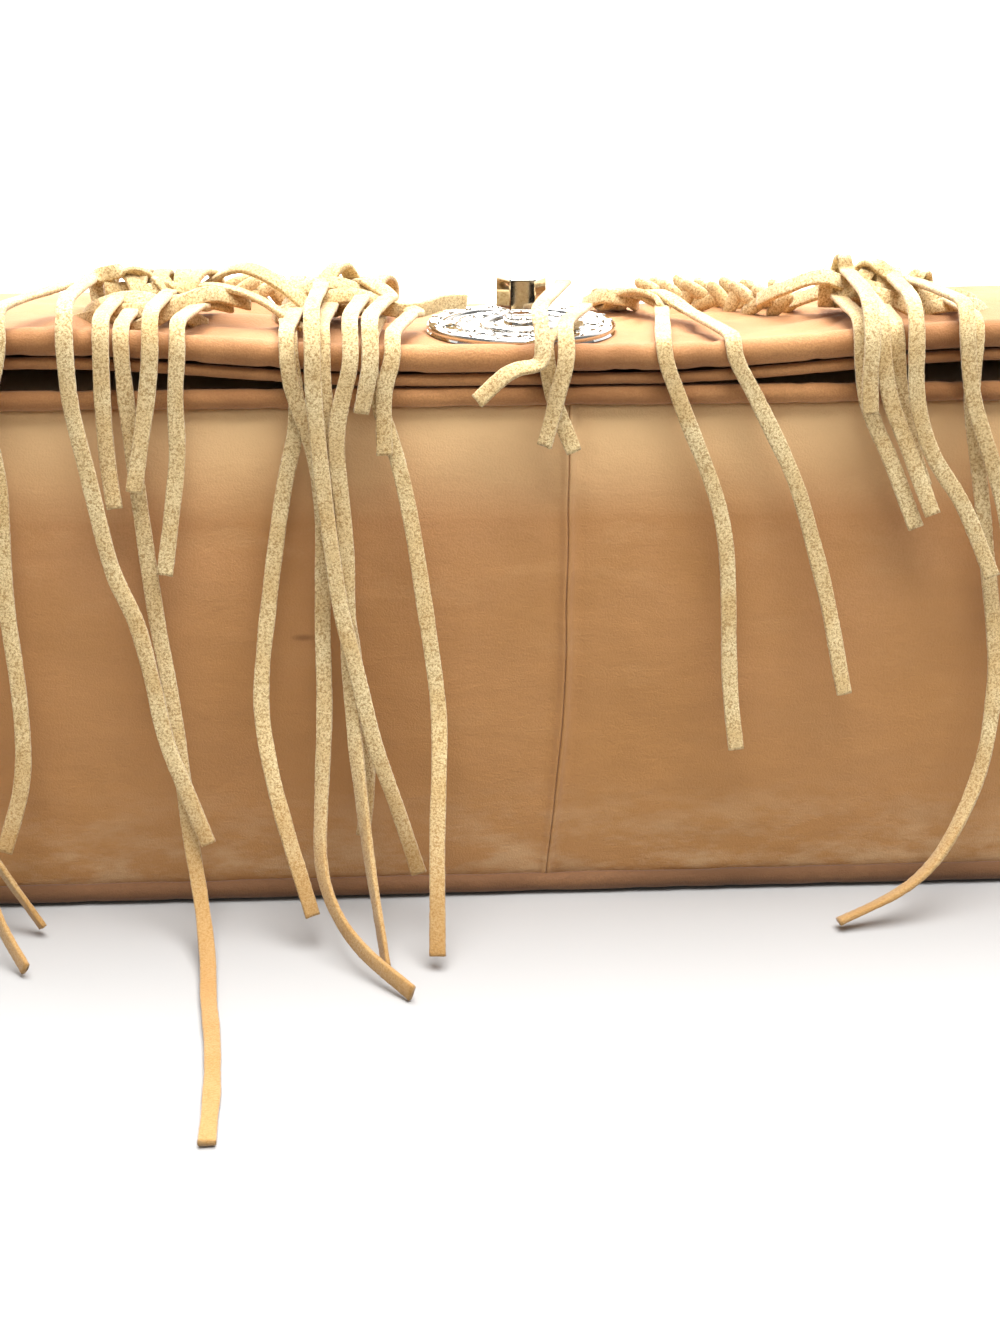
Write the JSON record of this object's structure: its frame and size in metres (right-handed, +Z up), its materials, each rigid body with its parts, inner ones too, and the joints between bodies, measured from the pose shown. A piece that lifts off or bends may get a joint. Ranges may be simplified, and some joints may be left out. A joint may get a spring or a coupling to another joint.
{
  "type": "fringed suede bag",
  "caption": "Fringed suede flap bag lying on its back, with a hexagonal turn lock, plaited trim, rolled edges and long hanging laces.",
  "frame": {"origin": "centre of the bag's footprint at the table, measured without the laces", "axes": "+X across the bag to the right as seen from the base, +Y from the base to the mouth end, +Z up out of the flap's front"},
  "size_m": [0.359, 0.3455, 0.1443],
  "materials": {
    "tan_leather": "matte",
    "dark_leather": "matte",
    "lace_suede": "napped",
    "lining_cloth": "woven",
    "board": "pressed board",
    "polished_metal": "polished"
  },
  "bodies": {
    "bag": {"back_panel": "tan_leather", "front_panel": "tan_leather", "gusset_left": "tan_leather", "gusset_right": "tan_leather", "top_panel": "tan_leather", "welt_front": "tan_leather", "welt_back": "dark_leather", "lining": "lining_cloth", "base_board": "board", "lock_base": "polished_metal", "lock_retainer": "polished_metal", "strap_tab_left": "tan_leather", "strap_tab_right": "tan_leather"},
    "flap": {"flap_panel": "tan_leather", "flap_lining": "lining_cloth", "flap_binding": "tan_leather", "flap_piping": "dark_leather", "lock_plate": "polished_metal", "plate_backing": "polished_metal", "plate_rivet_1": "polished_metal", "plate_rivet_2": "polished_metal", "braid_left": "lace_suede", "braid_right": "lace_suede", "knot_left": "lace_suede", "knot_centre_left": "lace_suede", "knot_lock": "lace_suede", "knot_right": "lace_suede", "knot_far_right": "lace_suede", "lace_a1": "lace_suede", "lace_a2": "lace_suede", "lace_a3": "lace_suede", "lace_a4": "lace_suede", "lace_b1": "lace_suede", "lace_b2": "lace_suede", "lace_b3": "lace_suede", "lace_b4": "lace_suede", "lace_b5": "lace_suede", "lace_c1": "lace_suede", "lace_c2": "lace_suede", "lace_c3": "lace_suede", "lace_c4": "lace_suede", "lace_c5": "lace_suede", "lace_c6": "lace_suede", "lace_c7": "lace_suede", "lace_c8": "lace_suede", "lace_d1": "lace_suede", "lace_d2": "lace_suede", "lace_d3": "lace_suede", "lace_e1": "lace_suede", "lace_e2": "lace_suede", "lace_f1": "lace_suede", "lace_f2": "lace_suede", "lace_f3": "lace_suede", "lace_f4": "lace_suede", "lace_f5": "lace_suede", "lace_g1": "lace_suede", "lace_g2": "lace_suede"},
    "knob": {"lock_knob": "polished_metal"},
    "ring_left": {"ring_left": "polished_metal"},
    "ring_right": {"ring_right": "polished_metal"}
  },
  "joints": [
    {"name": "flap_open", "type": "hinge", "parent": "bag", "child": "flap", "pos_m": [0, 0.121, 0.0378], "axis": [1, 0, 0], "range_deg": [-150, 0], "deforming": ["lace_a1", "lace_a2", "lace_a3", "lace_a4", "lace_b1", "lace_b2", "lace_b3", "lace_b4", "lace_b5", "lace_c1", "lace_c2", "lace_c3", "lace_c4", "lace_c5", "lace_c6", "lace_c7", "lace_c8", "lace_d1", "lace_d2", "lace_d3", "lace_e1", "lace_e2", "lace_f1", "lace_f2", "lace_f3", "lace_f4", "lace_f5", "lace_g1", "lace_g2"]},
    {"name": "lock_turn", "type": "hinge", "parent": "bag", "child": "knob", "pos_m": [0, -0.0946, 0.13], "axis": [0, 0, 1], "range_deg": [0, 90]},
    {"name": "ring_left_swing", "type": "hinge", "parent": "bag", "child": "ring_left", "pos_m": [-0.1753, 0.085, 0.025], "axis": [0, 1, 0], "range_deg": [0, 150]},
    {"name": "ring_right_swing", "type": "hinge", "parent": "bag", "child": "ring_right", "pos_m": [0.1753, 0.085, 0.025], "axis": [0, 1, 0], "range_deg": [-150, 0]}
  ]
}
